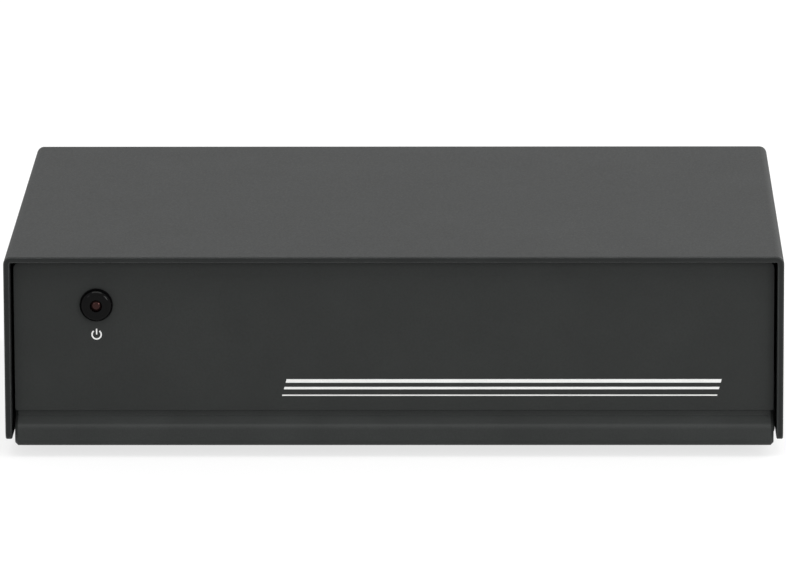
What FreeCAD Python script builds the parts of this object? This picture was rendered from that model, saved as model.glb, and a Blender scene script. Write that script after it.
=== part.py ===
"""Desktop phono preamplifier in a folded steel case, built as separate pieces.

Millimetres, +Z up, front towards -Y. The origin is at the middle of the overall
length and width, on the surface that the rubber feet stand on.
"""
import FreeCAD, Part
import itertools
import math
import os

# Case: overall sizes of the folded cover; its height follows from the jacks it holds
CASE_WIDTH = 133.0
CASE_DEPTH = 98.0
COVER_SHEET = 1.1
COVER_INNER_BEND = 0.25
COVER_FOOT_LIFT = 1.1
COVER_CORNER = 1.5
COVER_EDGE_BREAK = 0.15

# Tray: base, joggled front lip, front and rear walls, side flanges
TRAY_SHEET = 1.0
TRAY_INNER_BEND = 0.2
JOGGLE_INNER_BEND = 0.1
LIP_SETBACK = 0.3
LIP_HEIGHT = 3.6
LIP_SIDE_GAP = 0.5
LIP_CORNER = 0.5
JOGGLE_RISE = 1.35
WALL_TOP_GAP = 0.4
FRONT_WALL_SIDE_GAP = 0.35
REAR_WALL_SETBACK = 1.0
FLANGE_GAP = 0.05
FLANGE_HEIGHT = 12.0
FLANGE_END_INSET = 9.0
FLANGE_CORNER = 2.0
RELIEF_WIDTH = 1.2
RELIEF_DEPTH = 2.2

# Front plate, seated on the tray's front wall
FASCIA_SETBACK = 2.3
FASCIA_SHEET = 0.4
FASCIA_SIDE_GAP = 0.5
FASCIA_LOWER_EDGE = 5.9
FASCIA_CORNER = 1.0

# Lamp and its bezel
LAMP_SIDE_INSET = 15.7
LAMP_HEIGHT = 24.4
LAMP_RADIUS = 1.45
LAMP_RIM_RADIUS = 1.75
LAMP_RIM_LENGTH = 0.8
LAMP_LEAD_SIZE = 0.5
LAMP_LEAD_PITCH = 2.54
LAMP_LEAD_RUN = 4.0
LAMP_LEAD_BEND = 0.9
BEZEL_RADIUS = 2.85
BEZEL_DOME = 1.3
BEZEL_RIM = 0.25
BEZEL_BARREL_RADIUS = 2.15
BEZEL_BARREL_LENGTH = 3.1
BEZEL_APERTURE_RADIUS = 1.05
BEZEL_LEDGE_DEPTH = 0.75
SMALL_FIT = 0.05

# Feet
FOOT_HEIGHT = 2.0
FOOT_RADIUS = 5.0
FOOT_TAPER = 0.5
FOOT_EDGE_ROUND = 0.5
FOOT_END_INSET = 16.0
FOOT_SIDE_INSET = 14.0

# Circuit board and what carries it
BOARD_SIDE_GAP = 7.5
BOARD_THICKNESS = 1.6
BOARD_FRONT_GAP = 2.8
BOARD_REAR_GAP = 0.5
BOARD_HOLE_SIDE_INSET = 4.5
BOARD_HOLE_END_INSET = 9.0
BOARD_CORNER = 1.5
STANDOFF_HEIGHT = 3.0
STANDOFF_FLATS = 5.0

# M3 screws
SCREW_RADIUS = 1.45
TAPPED_RADIUS = 1.5
SCREW_HOLE_RADIUS = 1.65
PAN_HEAD_RADIUS = 2.75
PAN_HEAD_HEIGHT = 1.8
BOARD_SCREW_REACH = 2.4
COVER_SCREW_LENGTH = 5.0
COVER_SCREW_HEIGHT = 7.5
COVER_SCREW_END_INSET = 20.0
COLLAR_RADIUS = 2.5
COLLAR_LENGTH = 1.0
COUNTERSINK_GAP = 0.1
RECESS_WIDTH = 0.6
RECESS_LENGTH = 2.4
RECESS_DEPTH = 0.7

# Phono jacks: stacked pairs on the rear wall
JACK_SLEEVE_RADIUS = 4.15
JACK_SLEEVE_WALL = 0.45
JACK_SLEEVE_OUT = 9.3
JACK_SLEEVE_SEAT = 3.0
JACK_SHOULDER_RADIUS = 4.6
JACK_SHOULDER_OUT = 0.6
JACK_BORE_RADIUS = 1.65
JACK_BORE_DEPTH = 14.0
JACK_CONTACT_WALL = 0.3
JACK_CONTACT_RECESS = 1.0
JACK_FACE_RECESS = 0.5
JACK_TAIL_RADIUS = 2.6
JACK_BLOCK_WIDTH = 10.4
JACK_BLOCK_DEPTH = 12.0
JACK_TOP_WALL = 5.6
JACK_TOP_GAP = 0.5
JACK_BLOCK_ROUND = 0.6
JACK_UPPER_DEPTH = 8.5
JACK_LOWER_AXIS = 6.4
JACK_PITCH = 14.0
JACK_PANEL_GAP = 0.3
JACK_LUG_WIDTH = 1.2
JACK_LUG_SHEET = 0.4
JACK_LUG_OFFSET = 2.5
INPUT_JACKS_X = 18.0
OUTPUT_JACKS_X = -8.0
PANEL_SCREW_RADIUS = 1.2
PANEL_SCREW_LENGTH = 6.0
PANEL_HEAD_HEIGHT = 1.5
PANEL_HEAD_GAP = 0.5

# Power inlet for a 5.5 mm barrel plug with a 2.1 mm centre
INLET_SIDE_INSET = 22.5
INLET_WIDTH = 9.0
INLET_DEPTH = 13.5
INLET_HEIGHT = 11.0
INLET_AXIS = 6.5
INLET_BORE_RADIUS = 3.15
INLET_BORE_DEPTH = 9.6
INLET_COLLAR_RADIUS = 4.2
INLET_COLLAR_OUT = 0.4
INLET_PIN_RADIUS = 1.05
INLET_ROOT_RADIUS = 1.5
INLET_PIN_RECESS = 0.8
INLET_PIN_TAIL = 3.0
INLET_GROOVE_WIDTH = 2.6
INLET_GROOVE_DEPTH = 1.2
INLET_SPRING_SHEET = 0.3
INLET_SPRING_CROWN = 4.0
INLET_SPRING_TIP = 6.2

# Ground terminal: M4 post with a captive washer and a knurled nut
GROUND_SIDE_INSET = 23.5
GROUND_HEIGHT = 14.0
POST_RADIUS = 2.0
POST_FIT = 0.06
POST_CHAMFER = 0.4
POST_INSIDE = 5.0
SHOULDER_RADIUS = 4.4
SHOULDER_THICKNESS = 1.2
WASHER_RADIUS = 4.3
WASHER_THICKNESS = 0.8
TURNING_GAP = 0.1
NUT_RADIUS = 4.7
NUT_LENGTH = 7.0
NUT_COLLAR_RADIUS = 3.7
NUT_COLLAR_LENGTH = 1.8
NUT_FLUTES = 20
NUT_FLUTE_DEPTH = 0.4
NUT_END_CHAMFER = 0.45
NUT_TRAVEL = 4.0
POST_TIP = 0.2
INNER_NUT_FLATS = 7.0
INNER_NUT_THICKNESS = 2.2
LUG_SHEET = 0.5
LUG_RADIUS = 3.8
LUG_TAIL_WIDTH = 2.0

# Board parts
FILTER_CAN = (5.0, 12.5)
COUPLING_CAN = (3.15, 7.5)
CAN_CHAMFER = 0.5
LEAD_RADIUS = 0.3
FILM_SIZE = (7.2, 2.6, 6.5)
FILM_LIFT = 0.3
CHIP_SIZE = (9.4, 6.4, 3.3)
CHIP_LIFT = 0.6
CHIP_PIN_PITCH = 2.54
CHIP_PIN_ROW = 7.62
CHIP_PIN_WIDTH = 0.5
RESISTOR_RADIUS = 1.1
RESISTOR_LENGTH = 6.2
RESISTOR_PITCH = 10.0
RESISTOR_LIFT = 0.3
REGULATOR_BODY = (10.0, 4.4, 9.0)
REGULATOR_TAB_HEIGHT = 15.4
REGULATOR_TAB_SHEET = 1.3
REGULATOR_LIFT = 2.5
REGULATOR_PIN_WIDTH = 0.8
REGULATOR_HOLE_RADIUS = 1.8
PIN_THROUGH = 1.0
PIN_HOLE_GAP = 0.25

# Levels above the surface and places along the depth, from the sizes above
HALF_WIDTH = CASE_WIDTH / 2
JACK_BLOCK_HEIGHT = JACK_LOWER_AXIS + JACK_PITCH + JACK_TOP_WALL
BOARD_LIFT = TRAY_SHEET + STANDOFF_HEIGHT + BOARD_THICKNESS
CASE_HEIGHT = BOARD_LIFT + JACK_BLOCK_HEIGHT + JACK_TOP_GAP + COVER_SHEET
LAMP_X = -(HALF_WIDTH - LAMP_SIDE_INSET)
INLET_X = -(HALF_WIDTH - INLET_SIDE_INSET)
GROUND_X = HALF_WIDTH - GROUND_SIDE_INSET
PANEL_HEAD_RADIUS = JACK_PITCH / 2 - JACK_SHOULDER_RADIUS - PANEL_HEAD_GAP
TRAY_Z = FOOT_HEIGHT
FLOOR_Z = TRAY_Z + TRAY_SHEET
TOP_Z = TRAY_Z + CASE_HEIGHT
CEILING_Z = TOP_Z - COVER_SHEET
COVER_FOOT_Z = TRAY_Z + COVER_FOOT_LIFT
WALL_TOP_Z = CEILING_Z - WALL_TOP_GAP
BOARD_Z = FLOOR_Z + STANDOFF_HEIGHT
BOARD_TOP = BOARD_Z + BOARD_THICKNESS
LAMP_Z = TRAY_Z + LAMP_HEIGHT
INNER_HALF = HALF_WIDTH - COVER_SHEET
FLANGE_X = INNER_HALF - FLANGE_GAP
COVER_SCREW_Z = TRAY_Z + COVER_SCREW_HEIGHT

CLAMP_LENGTH = SHOULDER_THICKNESS + WASHER_THICKNESS + NUT_LENGTH + 2 * TURNING_GAP
POST_OUT = CLAMP_LENGTH + NUT_TRAVEL + POST_TIP
REAR_REACH = max(POST_OUT, JACK_SLEEVE_OUT)
FRONT_Y = -(CASE_DEPTH - REAR_WALL_SETBACK + REAR_REACH) / 2
BACK_Y = FRONT_Y + CASE_DEPTH
REAR_FACE = BACK_Y - REAR_WALL_SETBACK
REAR_INSIDE = REAR_FACE - TRAY_SHEET
FASCIA_Y = FRONT_Y + FASCIA_SETBACK
WALL_Y = FASCIA_Y + FASCIA_SHEET
WALL_INSIDE = WALL_Y + TRAY_SHEET
BOARD_FRONT = WALL_INSIDE + BOARD_FRONT_GAP
BOARD_REAR = REAR_INSIDE - BOARD_REAR_GAP
BOARD_HALF = HALF_WIDTH - BOARD_SIDE_GAP
INLET_Z = BOARD_TOP + INLET_AXIS
GROUND_Z = TRAY_Z + GROUND_HEIGHT
JACK_AXES = (BOARD_TOP + JACK_LOWER_AXIS, BOARD_TOP + JACK_LOWER_AXIS + JACK_PITCH)
CONTACT_RADIUS = JACK_BORE_RADIUS + JACK_CONTACT_WALL
INSULATOR_RADIUS = JACK_SLEEVE_RADIUS - JACK_SLEEVE_WALL - SMALL_FIT
JACK_MOUTH = REAR_FACE + JACK_SLEEVE_OUT
CONTACT_MOUTH = JACK_MOUTH - JACK_CONTACT_RECESS
CONTACT_END = JACK_MOUTH - JACK_BORE_DEPTH

# Places of the parts on the board, from its middle and its front edge; the regulator's from its left edge
FILTER_SPOTS = ((-36.0, 42.0), (-24.5, 42.0))
COUPLING_SPOTS = ((-10.0, 30.0), (0.0, 30.0), (10.0, 30.0), (20.0, 30.0))
FILM_SPOTS = ((-6.0, 62.0), (6.0, 62.0), (28.0, 44.0), (28.0, 52.0))
CHIP_SPOTS = ((-6.0, 46.0), (12.0, 46.0))
RESISTOR_ROWS = (12.0, 18.0)
RESISTOR_COLUMNS = (-30.0, -8.0, 14.0, 36.0)
REGULATOR_SPOT = (19.0, 62.0)


def vec(x, y, z):
    """A vector in the part's frame."""
    return FreeCAD.Vector(x, y, z)


def box(x_span, y_span, z_span):
    """A block between two values on each axis."""
    corner = vec(x_span[0], y_span[0], z_span[0])
    sizes = (x_span[1] - x_span[0], y_span[1] - y_span[0], z_span[1] - z_span[0])
    return Part.makeBox(*sizes, corner)


def centred(middle, size):
    """The two ends of a length laid evenly about a middle."""
    return (middle - size / 2, middle + size / 2)


def rod_x(y, z, x_span, radius):
    """A cylinder along X."""
    return Part.makeCylinder(radius, x_span[1] - x_span[0], vec(x_span[0], y, z), vec(1, 0, 0))


def rod_y(x, z, y_span, radius):
    """A cylinder along Y."""
    return Part.makeCylinder(radius, y_span[1] - y_span[0], vec(x, y_span[0], z), vec(0, 1, 0))


def rod_z(x, y, z_span, radius):
    """A cylinder along Z."""
    return Part.makeCylinder(radius, z_span[1] - z_span[0], vec(x, y, z_span[0]))


def joined(shapes):
    """One solid from shapes that touch or overlap."""
    whole = shapes[0]
    for shape in shapes[1:]:
        whole = whole.fuse(shape)
    return whole.removeSplitter()


def cut_all(shape, tools):
    """The shape with every tool taken away."""
    for tool in tools:
        shape = shape.cut(tool)
    return shape


def flat_edges(points, radii, place):
    """Edges along a flat polyline whose inner corners are arcs of the given radii."""
    edges = []
    start = points[0]
    for index, radius in enumerate(radii, start=1):
        corner = points[index]
        back = unit(corner, points[index - 1])
        ahead = unit(corner, points[index + 1])
        half = math.acos(back[0] * ahead[0] + back[1] * ahead[1]) / 2
        reach = radius / math.tan(half)
        depth = radius / math.sin(half) - radius
        middle = unit((0.0, 0.0), (back[0] + ahead[0], back[1] + ahead[1]))
        entry = (corner[0] + back[0] * reach, corner[1] + back[1] * reach)
        crown = (corner[0] + middle[0] * depth, corner[1] + middle[1] * depth)
        leave = (corner[0] + ahead[0] * reach, corner[1] + ahead[1] * reach)
        edges.append(Part.LineSegment(place(start), place(entry)).toShape())
        edges.append(Part.Arc(place(entry), place(crown), place(leave)).toShape())
        start = leave
    edges.append(Part.LineSegment(place(start), place(points[-1])).toShape())
    return edges


def unit(start, end):
    """The flat unit vector from one point to another."""
    run = (end[0] - start[0], end[1] - start[1])
    length = math.hypot(*run)
    return (run[0] / length, run[1] / length)


def offset_points(points, distance):
    """A flat polyline moved to its left by a distance."""
    ways = [unit(a, b) for a, b in zip(points, points[1:])]
    normals = [(-way[1], way[0]) for way in ways]
    moved = []
    for index, point in enumerate(points):
        first = normals[max(index - 1, 0)]
        second = normals[min(index, len(normals) - 1)]
        share = distance / (1 + first[0] * second[0] + first[1] * second[1])
        moved.append((point[0] + (first[0] + second[0]) * share, point[1] + (first[1] + second[1]) * share))
    return moved


def sheet_face(points, thickness, inner_bends, place):
    """The section of a bent sheet that lies to the left of its outer polyline."""
    outer_radii = []
    inner_radii = []
    for index, bend in enumerate(inner_bends, start=1):
        before = unit(points[index - 1], points[index])
        after = unit(points[index], points[index + 1])
        turns_left = before[0] * after[1] - before[1] * after[0] > 0
        outer_radii.append(bend + thickness if turns_left else bend)
        inner_radii.append(bend if turns_left else bend + thickness)
    inside = offset_points(points, thickness)
    edges = flat_edges(points, outer_radii, place)
    edges.append(Part.LineSegment(place(points[-1]), place(inside[-1])).toShape())
    edges.extend(flat_edges(inside[::-1], inner_radii[::-1], place))
    edges.append(Part.LineSegment(place(inside[0]), place(points[0])).toShape())
    return Part.Face(Part.Wire(Part.sortEdges(edges)[0]))


def polygon_face(points, radii, place, rounded=True):
    """A flat face whose corners are rounded, or else cut straight, by the given radii, 0 for sharp."""
    edges = []
    count = len(points)
    ends = []
    for index in range(count):
        corner = points[index]
        radius = radii[index]
        back = unit(corner, points[index - 1])
        ahead = unit(corner, points[(index + 1) % count])
        half = math.acos(back[0] * ahead[0] + back[1] * ahead[1]) / 2
        reach = radius / math.tan(half)
        entry = (corner[0] + back[0] * reach, corner[1] + back[1] * reach)
        leave = (corner[0] + ahead[0] * reach, corner[1] + ahead[1] * reach)
        if radius > 0:
            middle = unit((0.0, 0.0), (back[0] + ahead[0], back[1] + ahead[1]))
            depth = radius / math.sin(half) - radius
            crown = (corner[0] + middle[0] * depth, corner[1] + middle[1] * depth)
            if rounded:
                edges.append(Part.Arc(place(entry), place(crown), place(leave)).toShape())
            else:
                edges.append(Part.LineSegment(place(entry), place(leave)).toShape())
        ends.append((entry, leave))
    for index in range(count):
        start = ends[index - 1][1]
        end = ends[index][0]
        edges.append(Part.LineSegment(place(start), place(end)).toShape())
    return Part.Face(Part.Wire(Part.sortEdges(edges)[0]))


def turned_y(x, z, points, radii, rounded=False):
    """A solid turned about an axis along Y; points are (radius, y)."""
    face = polygon_face(points, radii, lambda p: vec(x + p[0], p[1], z), rounded)
    return face.revolve(vec(x, 0, z), vec(0, 1, 0), 360)


def turned_z(x, y, points, radii, rounded=False):
    """A solid turned about an axis along Z; points are (radius, z)."""
    face = polygon_face(points, radii, lambda p: vec(x + p[0], y, p[1]), rounded)
    return face.revolve(vec(x, y, 0), vec(0, 0, 1), 360)


def hex_rod_z(x, y, z_span, flats):
    """A hexagonal rod along Z."""
    corner = flats / math.sqrt(3)
    points = [vec(x + corner * math.cos(math.pi * k / 3), y + corner * math.sin(math.pi * k / 3), z_span[0])
              for k in range(7)]
    return Part.Face(Part.makePolygon(points)).extrude(vec(0, 0, z_span[1] - z_span[0]))


def hex_rod_y(x, z, y_span, flats):
    """A hexagonal rod along Y."""
    corner = flats / math.sqrt(3)
    points = [vec(x + corner * math.cos(math.pi * k / 3), y_span[0], z + corner * math.sin(math.pi * k / 3))
              for k in range(7)]
    return Part.Face(Part.makePolygon(points)).extrude(vec(0, y_span[1] - y_span[0], 0))


def board_holes():
    """Places of the board's four fixing holes."""
    return [(side * (BOARD_HALF - BOARD_HOLE_SIDE_INSET), y)
            for side in (-1, 1)
            for y in (BOARD_FRONT + BOARD_HOLE_END_INSET, BOARD_REAR - BOARD_HOLE_END_INSET)]


def cover_screw_places():
    """Depths of the cover's side screws."""
    return (FRONT_Y + COVER_SCREW_END_INSET, BACK_Y - COVER_SCREW_END_INSET)


def top_cover():
    """The folded cover: one sheet bent down at both sides, its cut edges softened by the paint."""
    outline = [(HALF_WIDTH, COVER_FOOT_Z), (HALF_WIDTH, TOP_Z), (-HALF_WIDTH, TOP_Z), (-HALF_WIDTH, COVER_FOOT_Z)]
    face = sheet_face(outline, COVER_SHEET, (COVER_INNER_BEND,) * 2, lambda p: vec(p[0], FRONT_Y, p[1]))
    cover = face.extrude(vec(0, CASE_DEPTH, 0))
    corners = [edge for edge in cover.Edges
               if abs(edge.CenterOfMass.z - COVER_FOOT_Z) < 1e-6 and edge.Length < COVER_SHEET * 1.5]
    cover = cover.makeFillet(COVER_CORNER, corners)
    rims = [edge for edge in cover.Edges
            if all(min(abs(v.Y - FRONT_Y), abs(v.Y - BACK_Y)) < 1e-6 for v in edge.Vertexes)
            and edge.Length > COVER_SHEET * 1.2
            and abs(edge.CenterOfMass.y - FRONT_Y) * abs(edge.CenterOfMass.y - BACK_Y) < 1e-3]
    cover = cover.makeChamfer(COVER_EDGE_BREAK, rims)
    tools = []
    for y in cover_screw_places():
        cone = Part.makeCone(SCREW_RADIUS + COVER_SHEET + COUNTERSINK_GAP, SCREW_RADIUS + COUNTERSINK_GAP,
                             COVER_SHEET, vec(HALF_WIDTH, y, COVER_SCREW_Z), vec(-1, 0, 0))
        tools.extend([cone, cone.mirror(vec(0, 0, 0), vec(1, 0, 0))])
    return cut_all(cover, tools)


def side_flange():
    """The tray's right side flange with its two tapped collars, bent up from the base."""
    reach = TRAY_SHEET + TRAY_INNER_BEND + RELIEF_DEPTH
    outline = [(FLANGE_X - reach, TRAY_Z), (FLANGE_X, TRAY_Z), (FLANGE_X, TRAY_Z + FLANGE_HEIGHT)]
    start = FRONT_Y + FLANGE_END_INSET
    end = BACK_Y - FLANGE_END_INSET
    face = sheet_face(outline, TRAY_SHEET, (TRAY_INNER_BEND,), lambda p: vec(p[0], start, p[1]))
    flange = face.extrude(vec(0, end - start, 0))
    corners = [edge for edge in flange.Edges
               if abs(edge.CenterOfMass.z - TRAY_Z - FLANGE_HEIGHT) < 1e-6 and edge.Length < TRAY_SHEET * 1.5]
    flange = flange.makeFillet(FLANGE_CORNER, corners)
    inside = FLANGE_X - TRAY_SHEET
    collars = [rod_x(y, COVER_SCREW_Z, (inside - COLLAR_LENGTH, inside + TRAY_SHEET / 2), COLLAR_RADIUS)
               for y in cover_screw_places()]
    bores = [rod_x(y, COVER_SCREW_Z, (inside - 2 * COLLAR_LENGTH, HALF_WIDTH), TAPPED_RADIUS)
             for y in cover_screw_places()]
    return cut_all(joined([flange] + collars), bores)


def bottom_tray():
    """The folded tray: front wall, joggle, lip, base and rear wall in one strip, plus two side flanges."""
    lip_half = INNER_HALF - LIP_SIDE_GAP
    joggle_foot = TRAY_Z + LIP_HEIGHT
    outline = [
        (WALL_Y, WALL_TOP_Z),
        (WALL_Y, joggle_foot + JOGGLE_RISE),
        (FRONT_Y + LIP_SETBACK, joggle_foot),
        (FRONT_Y + LIP_SETBACK, TRAY_Z),
        (REAR_FACE, TRAY_Z),
        (REAR_FACE, WALL_TOP_Z),
    ]
    bends = (JOGGLE_INNER_BEND, JOGGLE_INNER_BEND, TRAY_INNER_BEND, TRAY_INNER_BEND)
    face = sheet_face(outline, TRAY_SHEET, bends, lambda p: vec(-lip_half, p[0], p[1]))
    spine = face.extrude(vec(2 * lip_half, 0, 0))
    ends = [edge for edge in spine.Edges
            if abs(abs(edge.CenterOfMass.x) - lip_half) < 1e-6 and edge.CenterOfMass.y < FRONT_Y + LIP_SETBACK + 1e-6]
    spine = spine.makeChamfer(LIP_CORNER, ends)

    wall_half = INNER_HALF - FRONT_WALL_SIDE_GAP
    wall_start = joggle_foot + JOGGLE_RISE + TRAY_SHEET
    notch = RELIEF_DEPTH + TRAY_SHEET + TRAY_INNER_BEND
    tools = []
    for side in (-1, 1):
        spare = sorted((side * wall_half, side * HALF_WIDTH))
        tools.append(box(spare, (WALL_Y - TRAY_SHEET, WALL_INSIDE + TRAY_SHEET), (wall_start, TOP_Z)))
        edge = sorted((side * (FLANGE_X - notch), side * HALF_WIDTH))
        span = (FRONT_Y + FLANGE_END_INSET - RELIEF_WIDTH, BACK_Y - FLANGE_END_INSET + RELIEF_WIDTH)
        tools.append(box(edge, span, (0, FLOOR_Z + TRAY_SHEET)))
    for x in (INPUT_JACKS_X, OUTPUT_JACKS_X):
        through = (REAR_INSIDE - TRAY_SHEET, REAR_FACE + TRAY_SHEET)
        tools.extend(rod_y(x, z, through, JACK_SHOULDER_RADIUS + JACK_PANEL_GAP) for z in JACK_AXES)
        tools.append(rod_y(x, sum(JACK_AXES) / 2, through, PANEL_SCREW_RADIUS + PIN_HOLE_GAP))
    tools.append(rod_y(INLET_X, INLET_Z, through, INLET_COLLAR_RADIUS + PIN_HOLE_GAP))
    tools.append(rod_y(GROUND_X, GROUND_Z, through, POST_RADIUS + PIN_HOLE_GAP))
    front = (WALL_Y - TRAY_SHEET, WALL_INSIDE + TRAY_SHEET)
    tools.append(rod_y(LAMP_X, LAMP_Z, front, BEZEL_BARREL_RADIUS + SMALL_FIT))
    spine = cut_all(spine, tools)

    flange = side_flange()
    return joined([spine, flange, flange.mirror(vec(0, 0, 0), vec(1, 0, 0))])


def front_fascia():
    """The thin front plate with rounded corners and the bezel's hole."""
    half = INNER_HALF - FASCIA_SIDE_GAP
    low = TRAY_Z + FASCIA_LOWER_EDGE
    corners = [(-half, low), (half, low), (half, WALL_TOP_Z), (-half, WALL_TOP_Z)]
    radii = (FASCIA_SHEET, FASCIA_SHEET, FASCIA_CORNER, FASCIA_CORNER)
    plate = polygon_face(corners, radii, lambda p: vec(p[0], FASCIA_Y, p[1])).extrude(vec(0, FASCIA_SHEET, 0))
    return plate.cut(rod_y(LAMP_X, LAMP_Z, (FRONT_Y, WALL_INSIDE), BEZEL_BARREL_RADIUS + SMALL_FIT))


def led_bezel():
    """The black ring that holds the lamp: a low dome in front, a barrel through both plates."""
    ledge = FASCIA_Y - BEZEL_LEDGE_DEPTH
    bore = LAMP_RADIUS + SMALL_FIT
    points = [
        (BEZEL_APERTURE_RADIUS, FASCIA_Y - BEZEL_DOME),
        (BEZEL_RADIUS, FASCIA_Y - BEZEL_DOME),
        (BEZEL_RADIUS, FASCIA_Y),
        (BEZEL_BARREL_RADIUS, FASCIA_Y),
        (BEZEL_BARREL_RADIUS, FASCIA_Y + BEZEL_BARREL_LENGTH),
        (bore, FASCIA_Y + BEZEL_BARREL_LENGTH),
        (bore, ledge),
        (BEZEL_APERTURE_RADIUS, ledge),
    ]
    dome = min(BEZEL_DOME - BEZEL_RIM, BEZEL_RADIUS - BEZEL_APERTURE_RADIUS - BEZEL_RIM)
    return turned_y(LAMP_X, LAMP_Z, points, (0, dome, 0, 0, 0, 0, 0, 0), rounded=True)


def led_lamp():
    """The lamp: a round-nosed body whose nose shows in the bezel, with a rim that seats on its barrel."""
    ledge = FASCIA_Y - BEZEL_LEDGE_DEPTH
    behind = math.sqrt(LAMP_RADIUS ** 2 - BEZEL_APERTURE_RADIUS ** 2) + SMALL_FIT
    centre = ledge + behind
    seat = FASCIA_Y + BEZEL_BARREL_LENGTH + SMALL_FIT
    nose = Part.makeSphere(LAMP_RADIUS, vec(LAMP_X, centre, LAMP_Z), vec(0, -1, 0), 0, 90, 360)
    stem = rod_y(LAMP_X, LAMP_Z, (centre, seat + LAMP_RIM_LENGTH), LAMP_RADIUS)
    rim = rod_y(LAMP_X, LAMP_Z, (seat, seat + LAMP_RIM_LENGTH), LAMP_RIM_RADIUS)
    return joined([nose, stem, rim])


def lamp_lead_places():
    """X of the lamp's two legs and the depth at which they go down."""
    start = FASCIA_Y + BEZEL_BARREL_LENGTH + SMALL_FIT + LAMP_RIM_LENGTH
    return [LAMP_X - LAMP_LEAD_PITCH / 2, LAMP_X + LAMP_LEAD_PITCH / 2], start, start + LAMP_LEAD_RUN


def led_leads():
    """The lamp's two square legs, bent down once and taken through the board."""
    places, start, drop = lamp_lead_places()
    leads = []
    half = LAMP_LEAD_SIZE / 2
    outline = [(drop + half, BOARD_Z - PIN_THROUGH), (drop + half, LAMP_Z + half), (start, LAMP_Z + half)]
    for x in places:
        face = sheet_face(outline, LAMP_LEAD_SIZE, (LAMP_LEAD_BEND,), lambda p, x=x: vec(x - half, p[0], p[1]))
        leads.append(face.extrude(vec(LAMP_LEAD_SIZE, 0, 0)))
    return Part.makeCompound(leads)


def cross_recess(shape, x, y, z, way):
    """A screw head with a cross recess cut in from its top; way points out of the head."""
    depth = RECESS_DEPTH
    for turned in (False, True):
        long_side = RECESS_LENGTH if turned else RECESS_WIDTH
        short_side = RECESS_WIDTH if turned else RECESS_LENGTH
        if way.z:
            slot = box(centred(x, long_side), centred(y, short_side), (z - depth, z + depth))
        elif way.y:
            slot = box(centred(x, long_side), (y - depth, y + depth), centred(z, short_side))
        else:
            slot = box((x - depth, x + depth), centred(y, long_side), centred(z, short_side))
        shape = shape.cut(slot)
    return shape


def board_screws():
    """Four pan-head screws that hold the board down on its standoffs."""
    screws = []
    for x, y in board_holes():
        head = BOARD_TOP + PAN_HEAD_HEIGHT
        tip = BOARD_TOP - BOARD_THICKNESS - BOARD_SCREW_REACH
        points = [(0, tip), (SCREW_RADIUS, tip), (SCREW_RADIUS, BOARD_TOP), (PAN_HEAD_RADIUS, BOARD_TOP),
                  (PAN_HEAD_RADIUS, head), (0, head)]
        screw = turned_z(x, y, points, (0, 0, 0, 0, PAN_HEAD_HEIGHT / 2, 0))
        screws.append(cross_recess(screw, x, y, head, vec(0, 0, 1)))
    return Part.makeCompound(screws)


def board_standoffs():
    """Four hexagonal tapped spacers between the tray and the board."""
    spacers = [hex_rod_z(x, y, (FLOOR_Z, BOARD_Z), STANDOFF_FLATS).cut(
        rod_z(x, y, (FLOOR_Z, BOARD_Z), TAPPED_RADIUS)) for x, y in board_holes()]
    return Part.makeCompound(spacers)


def cover_screws():
    """Four countersunk screws, flush in the cover's sides."""
    screws = []
    tip = HALF_WIDTH - COVER_SCREW_LENGTH
    for y in cover_screw_places():
        cone = Part.makeCone(SCREW_RADIUS + COVER_SHEET, SCREW_RADIUS, COVER_SHEET,
                             vec(HALF_WIDTH, y, COVER_SCREW_Z), vec(-1, 0, 0))
        shank = rod_x(y, COVER_SCREW_Z, (tip, HALF_WIDTH - COVER_SHEET / 2), SCREW_RADIUS)
        screw = cross_recess(joined([cone, shank]), HALF_WIDTH, y, COVER_SCREW_Z, vec(1, 0, 0))
        screws.extend([screw, screw.mirror(vec(0, 0, 0), vec(1, 0, 0))])
    return Part.makeCompound(screws)


def rubber_feet():
    """Four low tapered feet stuck under the tray."""
    feet = []
    for x in (-HALF_WIDTH + FOOT_SIDE_INSET, HALF_WIDTH - FOOT_SIDE_INSET):
        for y in (FRONT_Y + FOOT_END_INSET, BACK_Y - FOOT_END_INSET):
            points = [(0, 0), (FOOT_RADIUS - FOOT_TAPER, 0), (FOOT_RADIUS, FOOT_HEIGHT), (0, FOOT_HEIGHT)]
            feet.append(turned_z(x, y, points, (0, FOOT_EDGE_ROUND, 0, 0)))
    return Part.makeCompound(feet)


def jack_block(x):
    """The moulded housing of one stacked pair: stepped back, two stepped holes, a screw hole between."""
    back = REAR_INSIDE - JACK_BLOCK_DEPTH
    step = REAR_INSIDE - JACK_UPPER_DEPTH
    middle = sum(JACK_AXES) / 2
    top = BOARD_TOP + JACK_BLOCK_HEIGHT
    outline = [(REAR_INSIDE, BOARD_TOP), (REAR_INSIDE, top), (step, top), (step, middle), (back, middle),
               (back, BOARD_TOP)]
    radii = (0, JACK_BLOCK_ROUND, JACK_BLOCK_ROUND, JACK_BLOCK_ROUND, JACK_BLOCK_ROUND, 0)
    face = polygon_face(outline, radii, lambda p: vec(x - JACK_BLOCK_WIDTH / 2, p[0], p[1]))
    block = face.extrude(vec(JACK_BLOCK_WIDTH, 0, 0))
    seat = REAR_INSIDE - JACK_SLEEVE_SEAT
    tools = []
    for z in JACK_AXES:
        tools.append(rod_y(x, z, (seat, REAR_FACE), JACK_SHOULDER_RADIUS + SMALL_FIT))
        tools.append(rod_y(x, z, (back - 1, REAR_FACE), JACK_TAIL_RADIUS + SMALL_FIT))
    screw_end = REAR_FACE - PANEL_SCREW_LENGTH - SMALL_FIT
    tools.append(rod_y(x, middle, (screw_end, REAR_FACE), PANEL_SCREW_RADIUS + SMALL_FIT))
    return cut_all(block, tools)


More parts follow.
